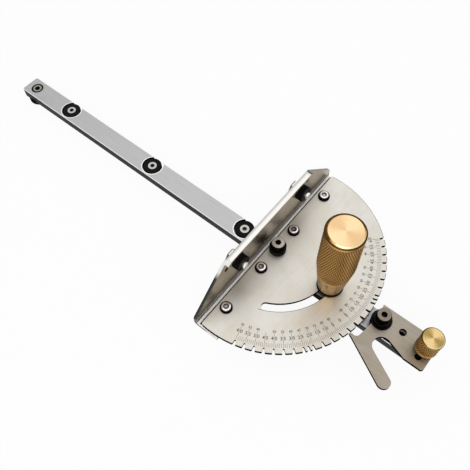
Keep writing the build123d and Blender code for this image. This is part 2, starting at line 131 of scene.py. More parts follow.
def metal_surface(tree, base, roughness, relief=None, relief_height=0.0, spin=None, edge_tint="#BCBAB8"):
    """Ends a finish as uncoated metal. A spin is the direction of a lathe's grooves."""
    inputs = {"Base Color": base, "Metallic": 1.0, "Roughness": roughness, "Specular Tint": edge_tint}
    if relief is not None:
        inputs["Normal"] = add(tree, "ShaderNodeBump",
                               {"Height": relief, "Distance": relief_height, "Strength": 1.0})
    if spin is not None:
        inputs["Anisotropic"] = 0.55
        inputs["Tangent"] = spin
    add(tree, "ShaderNodeOutputMaterial", {"Surface": add(tree, "ShaderNodeBsdfPrincipled", inputs)})


def dress(node, material):
    """Gives a CAD node its material on every slot."""
    for slot in nodes[node].material_slots:
        slot.material = material


# Drawn aluminium, satin: a cool grey metal with fine lengthwise grain that blurs reflections; its sides are
# painted dark as shade and its broken edges bright as highlights. The real grain of 0.1 mm is drawn 0.5 mm
# wide, so that it shows.
drawn_aluminium, tree = start_finish("drawn_aluminium")
lengthwise, ground_face, satin = varied(tree, 0.0005, 0.03, "Y", ("#A6A6A7", "#B4B4B5"), (0.30, 0.42))
upward, forward, sideways = facing(tree, "Z"), place_along(tree, "Y"), place_along(tree, "X")
# The sides are painted dark as shade, the broken edges bright as highlights
side_and_edge = add(tree, "ShaderNodeValToRGB", {0: upward}, stops=[(0.35, "#454546"), (0.5, "#F0F0F0")])
on_face = add(tree, "ShaderNodeMath", {0: upward, 1: 0.97}, operation="GREATER_THAN")
# Under the head the sides and edges are painted darker still, as shade
shaded_side = add(tree, "ShaderNodeValToRGB", {0: upward}, stops=[(0.35, "#111112"), (0.5, "#8E9090")])
shaded_length = 0.085
under_head = add(tree, "ShaderNodeMath", {0: forward, 1: -shaded_length / 2, 2: shaded_length / 2},
                 operation="COMPARE")
side_and_edge = add(tree, "ShaderNodeMix", {0: under_head, 6: side_and_edge, 7: shaded_side}, 2,
                    data_type="RGBA")
# A bright line 0.6 mm wide is painted round each disc's pocket, as a highlight on its edge
first_disc, disc_pitch, disc_aside, highlight_radius = 0.0361, 0.1086, 0.0015, 0.0102
from_first = add(tree, "ShaderNodeMath", {0: forward, 1: first_disc}, operation="SUBTRACT")
from_next = add(tree, "ShaderNodeMath", {0: from_first, 1: disc_pitch / 2, 2: -disc_pitch / 2},
                operation="WRAP")
aside = add(tree, "ShaderNodeMath", {0: sideways, 1: disc_aside}, operation="SUBTRACT")
to_disc = add(tree, "ShaderNodeCombineXYZ", {"X": aside, "Y": from_next})
from_disc = add(tree, "ShaderNodeVectorMath", {0: to_disc}, "Value", operation="LENGTH")
pocket_highlight = add(tree, "ShaderNodeMath", {0: from_disc, 1: highlight_radius}, operation="LESS_THAN")
in_front = add(tree, "ShaderNodeMath", {0: forward, 1: 0.0}, operation="GREATER_THAN")
pocket_highlight = add(tree, "ShaderNodeMath", {0: pocket_highlight, 1: in_front}, operation="MULTIPLY")
ground_face = add(tree, "ShaderNodeMix", {0: pocket_highlight, 6: ground_face, 7: "#F4F4F4"}, 2, data_type="RGBA")
bar_shade = add(tree, "ShaderNodeMix", {0: on_face, 6: side_and_edge, 7: ground_face}, 2, data_type="RGBA")
# The drilled hole under the lever is painted dark, as the shade inside it
lever_hole, hole_shade_radius = (0.0017, -0.118, 0.0), 0.0034
in_hole = add(tree, "ShaderNodeMath", {0: from_axis(tree, lever_hole), 1: hole_shade_radius}, operation="LESS_THAN")
bar_shade = add(tree, "ShaderNodeMix", {0: in_hole, 6: bar_shade, 7: "#141413"}, 2, data_type="RGBA")
metal_surface(tree, bar_shade, satin, lengthwise, 0.00002)
dress("miter_bar", drawn_aluminium)


# Expansion discs and their screws. Each disc is turned from black nylon and split by the flat-head
# socket screw of bright zinc-plated steel that holds it in its pocket and spreads it in the slot.

# Machined black nylon: near black with a weak, broad sheen and faint tool marks. The marks of the
# cutter's feed, 0.2 mm apart, are drawn as spots of 0.6 mm, so that they show.
black_nylon, tree = start_finish("machined_black_nylon")
tool_marks, nylon_shade, nylon_sheen = varied(tree, 0.0006, 0.0006, "Z", ("#030303", "#0B0B0C"), (0.42, 0.6))
nylon_relief = add(tree, "ShaderNodeBump", {"Height": tool_marks, "Distance": 0.00003, "Strength": 1.0})
nylon = add(tree, "ShaderNodeBsdfPrincipled",
            {"Base Color": nylon_shade, "Roughness": nylon_sheen, "IOR": 1.53, "Specular IOR Level": 0.08,
             "Normal": nylon_relief})
add(tree, "ShaderNodeOutputMaterial", {"Surface": nylon})


def flat_screw_finish(name, centre, rings):
    """Zinc-plated screw steel: silvery, with a mottle of 0.8 mm.

    Rings are the painted light and shade of the head's steps round its axis, at shares of 5 mm from it.
    """
    material, tree = start_finish(name)
    mottle, gloss = varied(tree, 0.0008, 0.0008, "Z", ("#E4E3E1", "#FFFFFF"), (0.28, 0.4))[1:]
    share = add(tree, "ShaderNodeMath", {0: from_axis(tree, centre), 1: 1 / 0.005}, operation="MULTIPLY")
    shade = add(tree, "ShaderNodeValToRGB", {0: share}, stops=rings)
    shade = add(tree, "ShaderNodeMix", {0: 1.0, 6: shade, 7: mottle}, 2,
                data_type="RGBA", blend_type="MULTIPLY")
    metal_surface(tree, shade, gloss)
    return material


# A highlight is painted on the floor of the hexagon, and shade on its walls and round the countersunk rim
for number in range(3):
    on_bar = (disc_aside, first_disc + number * disc_pitch, 0.0)
    dress("expansion_disc_%d" % (number + 1), black_nylon)
    dress("disc_screw_%d" % (number + 1),
          flat_screw_finish("bright_zinc_disc_screw_%d" % (number + 1), on_bar,
                            [(0.14, "#FFFFFF"), (0.82, "#161514"), (0.22, "#4B4844"), (0.36, "#55524D"),
                             (0.46, "#B9B7B3"), (0.76, "#C6C4C0")]))


# Washer under the front end. A turned steel washer, blued black, runs in the undercut of the slot
# and keeps the bar from tipping. A countersunk zinc-plated screw holds it through the bar.

# Black oxide on steel: a near black metal, a little brown, with a dull sheen of oil in spots of 1.5 mm
black_oxide, tree = start_finish("black_oxide_steel")
blued, oily_sheen = varied(tree, 0.0015, 0.0015, "Z", ("#171615", "#252322"), (0.32, 0.5))[1:]
metal_surface(tree, blued, oily_sheen)
dress("slot_washer", black_oxide)
washer_screw = (0.0, 0.302, 0.0)
# The same painted highlight in the middle, and painted shade in the socket and round the rim
dress("slot_washer_screw",
      flat_screw_finish("zinc_slot_washer_screw", washer_screw,
                        [(0.16, "#F6F5F2"), (0.88, "#1A1917"), (0.24, "#22211E"), (0.46, "#2A2926"),
                         (0.56, "#8F8D87"), (0.80, "#A3A19B")]))


# Protractor plate. It is cut by laser from 3 mm stainless sheet, with 27 notches for the lever's
# tooth and an arc slot for the clamp, brushed on its faces, and its scale is etched dark.

def brushed_sheet(name, face, edge, along, roughness, shade_lines=None):
    """Brushed stainless sheet: streaks along one axis, and cut faces painted near black as shade.

    The brush's scratches, 0.1 mm wide, are drawn 0.4 mm wide, so that they show. The last argument is a
    function that gives a mask, from 0 to 1, of where shade is painted dark on the face along its cut.
    """
    material, tree = start_finish(name)
    streaks, shade, satin = varied(tree, 0.0004, 0.02, along, face[:2], (roughness, roughness + 0.1))
    clouds = grain(tree, 0.018, 0.018, "Z", 3.0)
    warmth = add(tree, "ShaderNodeValToRGB", {0: clouds}, stops=[(0.35, "#FFFFFF"), (0.65, face[2])])
    shade = add(tree, "ShaderNodeMix", {0: 1.0, 6: shade, 7: warmth}, 2,
                data_type="RGBA", blend_type="MULTIPLY")
    # Shade is painted as dark lines on the face along its cut
    if shade_lines:
        shade = add(tree, "ShaderNodeMix", {0: shade_lines(tree), 6: shade, 7: "#2A2725"}, 2, data_type="RGBA")
    # The cut faces take the edge colour, which paints them near black as shade
    flat = add(tree, "ShaderNodeMath", {0: facing(tree, "Z"), 1: 0.6}, operation="GREATER_THAN")
    shade = add(tree, "ShaderNodeMix", {0: flat, 6: edge, 7: shade}, 2, data_type="RGBA")
    # The oxide skin on the cut is dull even where light grazes it
    grazing = add(tree, "ShaderNodeMix", {0: flat, 6: "#2A2928", 7: "#BCBAB8"}, 2, data_type="RGBA")
    metal_surface(tree, shade, satin, streaks, 0.00001, edge_tint=grazing)
    return material


plate_radius, plate_front, plate_top, rim_line = 0.0895, 0.0070, 0.0070, 0.0003
slot_radius, slot_front, slot_line = 0.05568, -0.0200, 0.00034


def cut_burrs(tree):
    """The lines of shade painted dark along the rim, the outer side of the arc slot and the front edge."""
    radius, forward = from_axis(tree, (0.0, 0.0, 0.0)), place_along(tree, "Y")
    at_rim = add(tree, "ShaderNodeMath", {0: radius, 1: plate_radius - rim_line}, operation="GREATER_THAN")
    at_slot = add(tree, "ShaderNodeMath", {0: radius, 1: slot_radius + slot_line / 2, 2: slot_line / 2},
                  operation="COMPARE")
    behind = add(tree, "ShaderNodeMath", {0: forward, 1: slot_front}, operation="LESS_THAN")
    at_slot = add(tree, "ShaderNodeMath", {0: at_slot, 1: behind}, operation="MULTIPLY")
    at_front = add(tree, "ShaderNodeMath", {0: forward, 1: plate_front - rim_line}, operation="GREATER_THAN")
    shade_lines = add(tree, "ShaderNodeMath", {0: at_rim, 1: at_slot}, operation="MAXIMUM")
    return add(tree, "ShaderNodeMath", {0: shade_lines, 1: at_front}, operation="MAXIMUM")


dress("protractor_plate",
      brushed_sheet("brushed_stainless_plate", ("#D0CDC6", "#DBD9D3", "#F8F4EE"), "#060605", "X", 0.40,
                    cut_burrs))

# Etched marks: the oxide that the etching leaves in the brushed face, matt and grey-brown, a little
# uneven every 0.4 mm
etched_mark, tree = start_finish("etched_scale_mark")
etch = grain(tree, 0.0004, 0.0004, "Z")
etch_shade = add(tree, "ShaderNodeValToRGB", {0: etch}, stops=[(0.3, "#453F39"), (0.7, "#5A534B")])
etching = add(tree, "ShaderNodeBsdfPrincipled", {"Base Color": etch_shade, "Roughness": 0.6})
add(tree, "ShaderNodeOutputMaterial", {"Surface": etching})

# The scale's zero lies 15 degrees to the left of the bar, where the lever's tooth is
mark_height, zero_direction = 0.00003, math.radians(255)


def shape_tree(name, inputs):
    """Starts a Geometry Nodes tree and gives it back with its inputs and their identifiers."""
    tree = bpy.data.node_groups.new(name, "GeometryNodeTree")
    sockets = {key: tree.interface.new_socket(key, in_out="INPUT", socket_type="NodeSocket" + kind)
               for key, kind in [("Start Mesh", "Geometry")] + inputs}
    tree.interface.new_socket("Piece", in_out="OUTPUT", socket_type="NodeSocketGeometry")
    entry = tree.nodes.new("NodeGroupInput")
    given = {key: entry.outputs[key] for key in sockets}
    return tree, given, {key: socket.identifier for key, socket in sockets.items()}


def end_shape(tree, geometry, material):
    """Ends a Geometry Nodes tree as real, finished geometry."""
    real = add(tree, "GeometryNodeRealizeInstances", {0: geometry})
    add(tree, "NodeGroupOutput", {0: add(tree, "GeometryNodeSetMaterial", {0: real, "Material": material})})


def put_in_scene(name, data):
    """Makes an object of a mesh, text, lamp or camera and links it into the scene."""
    made = bpy.data.objects.new(name, data)
    bpy.context.scene.collection.objects.link(made)
    return made


def grown(name, tree, identifiers, values, start_mesh=None):
    """Runs a Geometry Nodes tree with the given values and gives back a plain mesh object."""
    piece = put_in_scene(name, start_mesh or bpy.data.meshes.new(name))
    step = piece.modifiers.new("shape", "NODES")
    step.node_group = tree
    for key, value in values.items():
        step[identifiers[key]] = value
    reading = bpy.context.evaluated_depsgraph_get()
    mesh = bpy.data.meshes.new_from_object(piece.evaluated_get(reading), preserve_all_data_layers=True,
                                           depsgraph=reading)
    piece.modifiers.clear()
    piece.data = mesh
    return piece


# The lines of the scale: one every degree, set round the pivot. Each fifth one is longer, but the
# zero line stops short of its number. They are drawn 0.24 mm wide, about twice the real etching, so
# that they show.
scale_lines, given, scale_inputs = shape_tree("scale_lines", [
    ("Lines", "Int"), ("Zero Line", "Int"), ("First", "Float"), ("Step", "Float"), ("Outer", "Float"),
    ("Short", "Float"), ("Long", "Float"), ("Width", "Float"), ("Level", "Float"), ("Thickness", "Float"),
    ("Finish", "Material")])
index = add(scale_lines, "GeometryNodeInputIndex")
swept = add(scale_lines, "ShaderNodeMath", {0: index, 1: given["Step"]}, operation="MULTIPLY")
turn = add(scale_lines, "ShaderNodeMath", {0: swept, 1: given["First"]}, operation="ADD")
in_five = add(scale_lines, "ShaderNodeMath", {0: index, 1: 5.0}, operation="MODULO")
is_fifth = add(scale_lines, "ShaderNodeMath", {0: in_five, 1: 0.5}, operation="LESS_THAN")
is_zero = add(scale_lines, "ShaderNodeMath", {0: index, 1: given["Zero Line"], 2: 0.5}, operation="COMPARE")
is_long = add(scale_lines, "ShaderNodeMath", {0: is_fifth, 1: is_zero}, operation="SUBTRACT")
reach = add(scale_lines, "ShaderNodeMix", {0: is_long, 2: given["Short"], 3: given["Long"]},
            data_type="FLOAT")
half_reach = add(scale_lines, "ShaderNodeMath", {0: reach, 1: 0.5}, operation="MULTIPLY")
radius = add(scale_lines, "ShaderNodeMath", {0: given["Outer"], 1: half_reach}, operation="SUBTRACT")
cosine = add(scale_lines, "ShaderNodeMath", {0: turn}, operation="COSINE")
sine = add(scale_lines, "ShaderNodeMath", {0: turn}, operation="SINE")
across = add(scale_lines, "ShaderNodeMath", {0: radius, 1: cosine}, operation="MULTIPLY")
along = add(scale_lines, "ShaderNodeMath", {0: radius, 1: sine}, operation="MULTIPLY")
spot = add(scale_lines, "ShaderNodeCombineXYZ", {"X": across, "Y": along, "Z": given["Level"]})
row = add(scale_lines, "GeometryNodeMeshLine", {"Count": given["Lines"]}, mode="OFFSET")
placed = add(scale_lines, "GeometryNodeSetPosition", {"Geometry": row, "Position": spot})
line = add(scale_lines, "GeometryNodeMeshCube", {"Size": (1.0, 1.0, 1.0)})
swing = add(scale_lines, "ShaderNodeCombineXYZ", {"Z": turn})
size = add(scale_lines, "ShaderNodeCombineXYZ", {"X": reach, "Y": given["Width"], "Z": given["Thickness"]})
lines = add(scale_lines, "GeometryNodeInstanceOnPoints",
            {"Points": placed, "Instance": line, "Rotation": swing, "Scale": size})
end_shape(scale_lines, lines, given["Finish"])
last_degree = 60
degree_lines = grown("scale_lines", scale_lines, scale_inputs,
                     {"Lines": 2 * last_degree + 1, "Zero Line": last_degree, "Step": math.radians(1),
                      "First": zero_direction - math.radians(last_degree), "Outer": 0.0850,
                      "Short": 0.0034, "Long": 0.0116, "Width": 0.00024, "Level": plate_top,
                      "Thickness": mark_height * 2, "Finish": etched_mark})
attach(degree_lines, "head")


def flat_numbers(name, labels, material):
    """Plain numbers as one thin mesh. Each label is its text, height, place and turn."""
    digit_share, boldness = 0.70, 0.00006
    corners, faces = [], []
    for text, height, place, turned_by in labels:
        words = bpy.data.curves.new(name, "FONT")
        words.body, words.size, words.offset = text, height / digit_share, boldness
        words.extrude, words.resolution_u = mark_height / 2, 3
        words.align_x = words.align_y = "CENTER"
        number = put_in_scene(name, words)
        reading = bpy.context.evaluated_depsgraph_get()
        mesh = bpy.data.meshes.new_from_object(number.evaluated_get(reading), depsgraph=reading)
        mesh.transform(Matrix.Translation(place) @ Matrix.Rotation(turned_by, 4, "Z"))
        first = len(corners)
        corners += [corner.co[:] for corner in mesh.vertices]
        faces += [[first + corner for corner in face.vertices] for face in mesh.polygons]
        bpy.data.objects.remove(number)
    mesh = bpy.data.meshes.new(name)
    mesh.from_pydata(corners, [], faces)
    mesh.materials.append(material)
    return put_in_scene(name, mesh)


# Two rows of numbers, read from behind the gauge: the angle from square, whose digits stand either
# side of its line, and its complement at the line's inner end. 45 is its own complement.
angle_radius, angle_height, digit_pitch = 0.0777, 0.0027, 0.0027
complement_radius, complement_height = 0.0722, 0.0019
labels = []
for angle in range(-last_degree, last_degree + 1, 5):
    direction = zero_direction - math.radians(angle)
    outward = Vector((math.cos(direction), math.sin(direction), 0))
    sideways = Vector((-math.sin(direction), math.cos(direction), 0))
    level = Vector((0, 0, plate_top))
    upright = direction + math.pi / 2
    digits = str(abs(angle))
    for place, digit in enumerate(digits):
        aside = sideways * (place - (len(digits) - 1) / 2) * digit_pitch
        labels.append((digit, angle_height, outward * angle_radius + aside + level, upright))
    if abs(angle) not in (0, 45):
        labels.append((str(90 - abs(angle)), complement_height, outward * complement_radius + level, upright))
scale_numbers = flat_numbers("scale_numbers", labels, etched_mark)
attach(scale_numbers, "head")


# Fence bracket. One sheet of 2.5 mm stainless is folded to a leg under the plate, an upright web
# with cropped corners and a narrow lip. The web is left as the mill made it, and the lip is painted bright as
# a highlight.

# Cold-rolled stainless with the mill's dull grey-brown skin: faint streaks along the roll, soft
# reflections, laser-cut edges painted dark as shade and bright as a highlight, and shade painted in the
# crease of the fold.
# The roll's lines of 0.1 mm are drawn 0.6 mm wide, so that they show.
mill_sheet, tree = start_finish("folded_mill_sheet")
rolling, web_shade, satin = varied(tree, 0.0006, 0.025, "X", ("#AFA599", "#C0B6A9"), (0.26, 0.36))
clouds = grain(tree, 0.012, 0.012, "Z", 3.0)
web_cloud = add(tree, "ShaderNodeValToRGB", {0: clouds}, stops=[(0.35, "#FFFFFF"), (0.65, "#E9E4DC")])
web_shade = add(tree, "ShaderNodeMix", {0: 1.0, 6: web_shade, 7: web_cloud}, 2, data_type="RGBA",
                blend_type="MULTIPLY")
sideways, forward, level = place_along(tree, "X"), place_along(tree, "Y"), place_along(tree, "Z")
# Highlights are painted on the lip and the top of the leg, and the outside of the lip's fold is painted
# darker toward its edge, as it turns from the light
leg_top, lip_underside = 0.0047, 0.0485
off_both = add(tree, "ShaderNodeMath",
               {0: level, 1: (lip_underside + leg_top) / 2, 2: (lip_underside - leg_top) / 2},
               operation="COMPARE")
highlight_and_wear = add(tree, "ShaderNodeMath", {0: facing(tree, "Z"), 1: off_both}, operation="SUBTRACT",
             use_clamp=True)
over_fold = add(tree, "ShaderNodeMapRange", {"Value": forward, "From Min": 0.0095, "From Max": 0.0126})
lip_shade = add(tree, "ShaderNodeValToRGB", {0: over_fold},
                stops=[(0.0, "#DEDCD9"), (1.0, "#6E6B68"), (0.8, "#D2D0CD")])
# A shadow 1.6 mm wide is painted on the leg along the plate's front edge, and elsewhere the leg is painted
# bright as a highlight
on_leg = add(tree, "ShaderNodeMath", {0: level, 1: leg_top + 0.0005}, operation="LESS_THAN")
gap_shadow_width = 0.0016
gap_shadow = add(tree, "ShaderNodeMath", {0: forward, 1: plate_front + 0.0007, 2: gap_shadow_width / 2},
            operation="COMPARE")
by_plate = add(tree, "ShaderNodeMath", {0: sideways, 1: 0.0, 2: plate_radius - rim_line},
               operation="COMPARE")
gap_shadow = add(tree, "ShaderNodeMath", {0: gap_shadow, 1: by_plate}, operation="MULTIPLY")
leg_shade = add(tree, "ShaderNodeMix", {0: gap_shadow, 6: "#FFFEFD", 7: "#2E2A27"}, 2, data_type="RGBA")
lip_shade = add(tree, "ShaderNodeMix", {0: on_leg, 6: lip_shade, 7: leg_shade}, 2, data_type="RGBA")
web_shade = add(tree, "ShaderNodeMix", {0: highlight_and_wear, 6: web_shade, 7: lip_shade}, 2, data_type="RGBA")
# Shade painted dark in the crease of the lower fold
crease_level, crease_width = 0.0060, 0.0018
crease = add(tree, "ShaderNodeMath", {0: level, 1: crease_level, 2: crease_width / 2}, operation="COMPARE")
web_shade = add(tree, "ShaderNodeMix", {0: crease, 6: web_shade, 7: "#26221F"}, 2, data_type="RGBA")
# Shade is painted dark on the laser's cut in the holes and on the sheet's ends; on the ends it is painted
# darkest along the front and bright as a highlight at the back of the leg
not_web_face = add(tree, "ShaderNodeMath", {0: facing(tree, "Y"), 1: 0.5}, operation="LESS_THAN")
hole_level, hole_reach = 0.0340, 0.0138
by_holes = add(tree, "ShaderNodeMath", {0: level, 1: hole_level, 2: hole_reach}, operation="COMPARE")
hole_wall = add(tree, "ShaderNodeMath", {0: not_web_face, 1: by_holes}, operation="MULTIPLY")
sheet_end = add(tree, "ShaderNodeMath", {0: facing(tree, "X"), 1: 0.35}, operation="GREATER_THAN")
along_end = add(tree, "ShaderNodeMapRange", {"Value": forward, "From Min": -0.003, "From Max": 0.0124})
cut_shade = add(tree, "ShaderNodeValToRGB", {0: along_end},
                stops=[(0.10, "#E2DFDA"), (1.0, "#1F1D1C"), (0.35, "#3A3632"), (0.95, "#4A4641")])
# The cut also turns bright just below the lip, at the left end, more so toward the lip
toward_lip = add(tree, "ShaderNodeMapRange", {"Value": level, "From Min": 0.0385, "From Max": 0.0430})
left_end = add(tree, "ShaderNodeMath", {0: sideways, 1: -0.045}, operation="LESS_THAN")
bright_below_lip = add(tree, "ShaderNodeMath", {0: toward_lip, 1: left_end}, operation="MULTIPLY")
cut_shade = add(tree, "ShaderNodeMix", {0: bright_below_lip, 6: cut_shade, 7: "#E6E4E1"}, 2, data_type="RGBA")
# The painted shade in the holes, then the painted shade and highlight on the ends
web_shade = add(tree, "ShaderNodeMix", {0: hole_wall, 6: web_shade, 7: "#161514"}, 2, data_type="RGBA")
web_shade = add(tree, "ShaderNodeMix", {0: sheet_end, 6: web_shade, 7: cut_shade}, 2, data_type="RGBA")
# The leg is scuffed by the plate that was bolted down on it
satin = add(tree, "ShaderNodeMix", {0: on_leg, 2: satin, 3: 0.8}, data_type="FLOAT")
metal_surface(tree, web_shade, satin, rolling, 0.00001, edge_tint="#FFFFFF")
dress("fence_bracket", mill_sheet)


# Button-head screws. Four socket screws of bright steel join plate and bracket. Each head is cold
# formed to a low dome with a hexagon socket, and shade is painted dark in the crease under its rim.

# A turned or formed round piece, wrapped from a lattice. Its profile's points carry their radius
# and level, how deep the knurl is cut, whether the ring is a hexagon, and a tint: the painted light and shade
# of a formed head, the smooth band of a brass knob.
turned_piece, given, turned_inputs = shape_tree("turned_piece", [("Columns", "Int"), ("Finish", "Material")])
rings = add(turned_piece, "GeometryNodeAttributeDomainSize", {0: given["Start Mesh"]}, "Point Count")
around = add(turned_piece, "ShaderNodeMath", {0: given["Columns"], 1: 1.0}, operation="ADD")
lattice = add(turned_piece, "GeometryNodeMeshGrid",
              {"Size X": 1.0, "Size Y": 1.0, "Vertices X": around, "Vertices Y": rings})
place = add(turned_piece, "GeometryNodeInputPosition")
lattice_x = add(turned_piece, "ShaderNodeSeparateXYZ", {0: place}, "X")
lattice_y = add(turned_piece, "ShaderNodeSeparateXYZ", {0: place}, "Y")
share_x = add(turned_piece, "ShaderNodeMath", {0: lattice_x, 1: 0.5}, operation="ADD")
share_y = add(turned_piece, "ShaderNodeMath", {0: lattice_y, 1: 0.5}, operation="ADD")
column = add(turned_piece, "ShaderNodeMath", {0: share_x, 1: given["Columns"]}, operation="MULTIPLY")
column = add(turned_piece, "ShaderNodeMath", {0: column}, operation="ROUND")
last_ring = add(turned_piece, "ShaderNodeMath", {0: rings, 1: 1.0}, operation="SUBTRACT")
ring = add(turned_piece, "ShaderNodeMath", {0: share_y, 1: last_ring}, operation="MULTIPLY")
ring = add(turned_piece, "ShaderNodeMath", {0: ring}, operation="ROUND")
read = {}
for name in ("radius", "level", "cut", "hexagon", "tint"):
    kept = add(turned_piece, "GeometryNodeInputNamedAttribute", {"Name": name}, data_type="FLOAT")
    read[name] = add(turned_piece, "GeometryNodeSampleIndex",
                     {0: given["Start Mesh"], "Value": kept, "Index": ring},
                     data_type="FLOAT", domain="POINT")
step_count = add(turned_piece, "ShaderNodeMath", {0: column, 1: ring}, operation="ADD")
is_crest = add(turned_piece, "ShaderNodeMath", {0: step_count, 1: 2.0}, operation="MODULO")
is_low = add(turned_piece, "ShaderNodeMath", {0: 1.0, 1: is_crest}, operation="SUBTRACT")
sunk = add(turned_piece, "ShaderNodeMath", {0: read["cut"], 1: is_low}, operation="MULTIPLY")
ring_radius = add(turned_piece, "ShaderNodeMath", {0: read["radius"], 1: sunk}, operation="SUBTRACT")
turn = add(turned_piece, "ShaderNodeMath", {0: share_x, 1: math.tau}, operation="MULTIPLY")
in_side = add(turned_piece, "ShaderNodeMath", {0: turn, 1: math.pi / 3}, operation="MODULO")
from_flat = add(turned_piece, "ShaderNodeMath", {0: in_side, 1: math.pi / 6}, operation="SUBTRACT")
to_flat = add(turned_piece, "ShaderNodeMath", {0: from_flat}, operation="COSINE")
shrink = add(turned_piece, "ShaderNodeMath", {0: to_flat, 1: 1.0}, operation="SUBTRACT")
hexed = add(turned_piece, "ShaderNodeMath", {0: read["hexagon"], 1: shrink, 2: 1.0}, operation="MULTIPLY_ADD")
ring_radius = add(turned_piece, "ShaderNodeMath", {0: ring_radius, 1: hexed}, operation="DIVIDE")
cosine = add(turned_piece, "ShaderNodeMath", {0: turn}, operation="COSINE")
sine = add(turned_piece, "ShaderNodeMath", {0: turn}, operation="SINE")
across = add(turned_piece, "ShaderNodeMath", {0: ring_radius, 1: cosine}, operation="MULTIPLY")
along = add(turned_piece, "ShaderNodeMath", {0: ring_radius, 1: sine}, operation="MULTIPLY")
spot = add(turned_piece, "ShaderNodeCombineXYZ", {"X": across, "Y": along, "Z": read["level"]})
is_cut = add(turned_piece, "ShaderNodeMath", {0: read["cut"], 1: 0.00005}, operation="GREATER_THAN")
groove = add(turned_piece, "ShaderNodeMath", {0: is_cut, 1: is_low}, operation="MULTIPLY")
marked = add(turned_piece, "GeometryNodeStoreNamedAttribute",
             {0: lattice, "Name": "groove", "Value": groove}, data_type="FLOAT", domain="POINT")
marked = add(turned_piece, "GeometryNodeStoreNamedAttribute",
             {0: marked, "Name": "tint", "Value": read["tint"]}, data_type="FLOAT", domain="POINT")
wrapped = add(turned_piece, "GeometryNodeSetPosition", {"Geometry": marked, "Position": spot})
closed = add(turned_piece, "GeometryNodeMergeByDistance", {"Geometry": wrapped, "Distance": 0.000001})
end_shape(turned_piece, add(turned_piece, "GeometryNodeTriangulate", {0: closed}), given["Finish"])


def turned(name, profile, columns, material, place=Matrix(), sharp=30):
    """Makes a round piece and moves its mesh to its place.

    A profile point is radius, level, knurl depth, hexagon and tint, and the last three may be left out.
    """
    mesh = bpy.data.meshes.new(name)
    mesh.from_pydata([(point[0], 0, point[1]) for point in profile], [], [])
    for index, key in enumerate(("radius", "level", "cut", "hexagon", "tint")):
        kept = mesh.attributes.new(key, "FLOAT", "POINT")
        kept.data.foreach_set("value", [(tuple(point) + (0.0, 0.0, 0.0))[index] for point in profile])
    piece = grown(name, turned_piece, turned_inputs, {"Columns": columns, "Finish": material}, mesh)
    piece.data.transform(place)
    piece.data.shade_smooth()
    piece.data.set_sharp_from_angle(angle=math.radians(sharp))
    return piece


# Bright cold-formed steel with scuffs of 0.7 mm. Its tint paints light and shade: near white on top of
# the dome, dark down to the rim and in the crease under it, and dark on the walls of the socket
formed_steel, tree = start_finish("bright_cold_formed_steel")
darkness = add(tree, "ShaderNodeAttribute", out="Fac", attribute_name="tint")
scuffs = grain(tree, 0.0007, 0.0007, "Z")
formed_shade = add(tree, "ShaderNodeValToRGB", {0: darkness},
                   stops=[(0.0, "#F1EFEB"), (0.9, "#0B0A0A"), (0.5, "#5A5550")])
formed_gloss = add(tree, "ShaderNodeMapRange", {"Value": scuffs, "To Min": 0.18, "To Max": 0.3})
metal_surface(tree, formed_shade, formed_gloss, scuffs, 0.00001)

head_radius, head_flat, rim_height, rim_break = 0.0052, 0.0026, 0.0007, 0.0002
socket_flat, socket_depth, head_top = 0.0020, 0.0010, plate_top + 0.0030
dome = [(0.0, plate_top, 0, 0, 1.0), (head_radius - rim_break, plate_top, 0, 0, 1.0),
        (head_radius, plate_top + rim_break, 0, 0, 1.0), (head_radius, plate_top + rim_height, 0, 0, 1.0)]
# Painted light and shade down the dome: dark at its foot, near white at its top
dome_tints = (1.0, 1.0, 1.0, 0.95, 0.7, 0.1, 0.0, 0.05)
for step, tint in enumerate(dome_tints, 1):
    lean = math.radians(90) * step / len(dome_tints)
    dome.append((head_flat + (head_radius - head_flat) * math.cos(lean),
                 plate_top + rim_height + (head_top - plate_top - rim_height) * math.sin(lean), 0, 0, tint))
dome += [(socket_flat + rim_break, head_top, 0, 1, 0.25), (socket_flat, head_top - rim_break, 0, 1, 0.9),
         (socket_flat, head_top - socket_depth, 0, 1, 0.9),
         (socket_flat * 0.8, head_top - socket_depth - 0.0001, 0, 1, 0.5),
         (0.0, head_top - socket_depth - 0.0002, 0, 0, 0.2)]
button_head = turned("button_head", dome, 48, formed_steel, sharp=40)

# The four heads in their row, each turned by its own amount as the wrench left it
button_row, given, row_inputs = shape_tree("button_row", [
    ("Head", "Object"), ("Count", "Int"), ("Start", "Float"), ("Pitch", "Float"), ("Seed", "Int"),
    ("Finish", "Material")])
start = add(button_row, "ShaderNodeCombineXYZ", {"X": given["Start"]})
pitch = add(button_row, "ShaderNodeCombineXYZ", {"X": given["Pitch"]})
holes = add(button_row, "GeometryNodeMeshLine",
            {"Count": given["Count"], "Start Location": start, "Offset": pitch}, mode="OFFSET")
wrench = add(button_row, "FunctionNodeRandomValue", {2: 0.0, 3: math.tau, "Seed": given["Seed"]}, 1,
             data_type="FLOAT")
swing = add(button_row, "ShaderNodeCombineXYZ", {"Z": wrench})
head = add(button_row, "GeometryNodeObjectInfo", {"Object": given["Head"]}, "Geometry")
fitted = add(button_row, "GeometryNodeInstanceOnPoints",
             {"Points": holes, "Instance": head, "Rotation": swing})
end_shape(button_row, fitted, given["Finish"])
screw_pitch = 0.0446
button_heads = grown("button_heads", button_row, row_inputs,
                     {"Head": button_head, "Count": 4, "Start": -1.5 * screw_pitch, "Pitch": screw_pitch,
                      "Seed": 3, "Finish": formed_steel})
bpy.data.objects.remove(button_head)
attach(button_heads, "head")
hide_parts("bracket_screw_1", "bracket_screw_2", "bracket_screw_3", "bracket_screw_4")


# Pivot of the head. A nylon washer lets the head glide on the bar, a flanged bush blued black
# carries it, and a black socket cap screw, the top of its head painted grey as a highlight, holds the bush to
# the bar.

